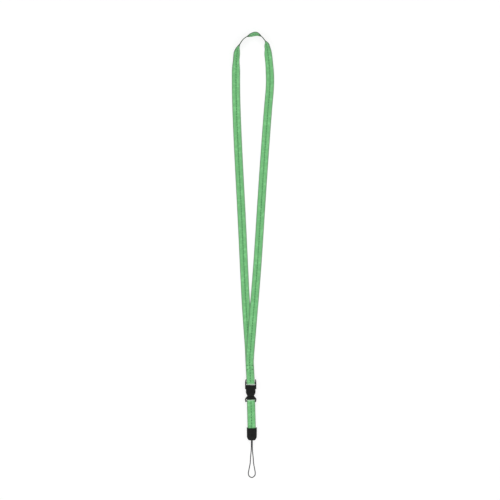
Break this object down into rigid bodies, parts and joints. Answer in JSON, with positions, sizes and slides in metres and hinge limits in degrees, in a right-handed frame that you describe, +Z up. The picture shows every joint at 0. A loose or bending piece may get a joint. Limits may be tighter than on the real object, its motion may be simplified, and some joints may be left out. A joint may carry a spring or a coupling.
{
  "type": "neck lanyard",
  "caption": "Flat webbing neck lanyard with a small side-release buckle, a short detachable tab, an end cap and a thin string loop for a phone or badge.",
  "frame": {"origin": "middle of the lanyard's footprint, on the surface that it lies on", "axes": "+Z up from that surface, +Y from the string loop to the top of the neck strap, +X to the right as seen from above"},
  "size_m": [0.0516, 0.5431, 0.01],
  "materials": {
    "webbing": "woven polyester webbing, soft sheen",
    "thread": "twisted polyester sewing thread",
    "buckle_plastic": "moulded acetal, fine satin grain",
    "cap_plastic": "moulded plastic, fine satin grain",
    "string": "tightly braided nylon"
  },
  "bodies": {
    "strap": {"neck_strap": "webbing", "neck_seam_thread": "thread"},
    "socket": {"socket": "buckle_plastic"},
    "plug": {"plug": "buckle_plastic"},
    "arm_left": {"arm_left": "buckle_plastic"},
    "arm_right": {"arm_right": "buckle_plastic"},
    "tab": {"tab_strap": "webbing", "tab_thread": "thread", "cap_back_shell": "cap_plastic", "cap_front_shell": "cap_plastic", "string_knot": "string", "string_binding": "string", "string_loop": "string"}
  },
  "joints": [
    {"name": "socket_tilt", "type": "hinge", "parent": "strap", "child": "socket", "pos_m": [-0.00245, -0.156, 0.003], "axis": [1, 0, 0], "range_deg": [-75, 75]},
    {"name": "plug_release", "type": "slide", "parent": "socket", "child": "plug", "axis": [0, -1, 0], "range_m": [0, 0.02], "deforming": ["arm_left", "arm_right"]},
    {"name": "arm_left_pinch", "type": "hinge", "parent": "plug", "child": "arm_left", "pos_m": [-0.0057, -0.1716, 0.003], "axis": [0, 0, -1], "range_deg": [0, 8], "stiffness_Nm_per_rad": 0.02},
    {"name": "arm_right_pinch", "type": "hinge", "parent": "plug", "child": "arm_right", "pos_m": [0.0008, -0.1716, 0.003], "axis": [0, 0, 1], "range_deg": [0, 8], "stiffness_Nm_per_rad": 0.02},
    {"name": "tab_tilt", "type": "hinge", "parent": "plug", "child": "tab", "pos_m": [-0.0021, -0.1779, 0.003], "axis": [1, 0, 0], "range_deg": [-75, 75]}
  ],
  "couplings": [
    {"joint": "arm_right_pinch", "follows": "arm_left_pinch", "ratio": 1}
  ]
}
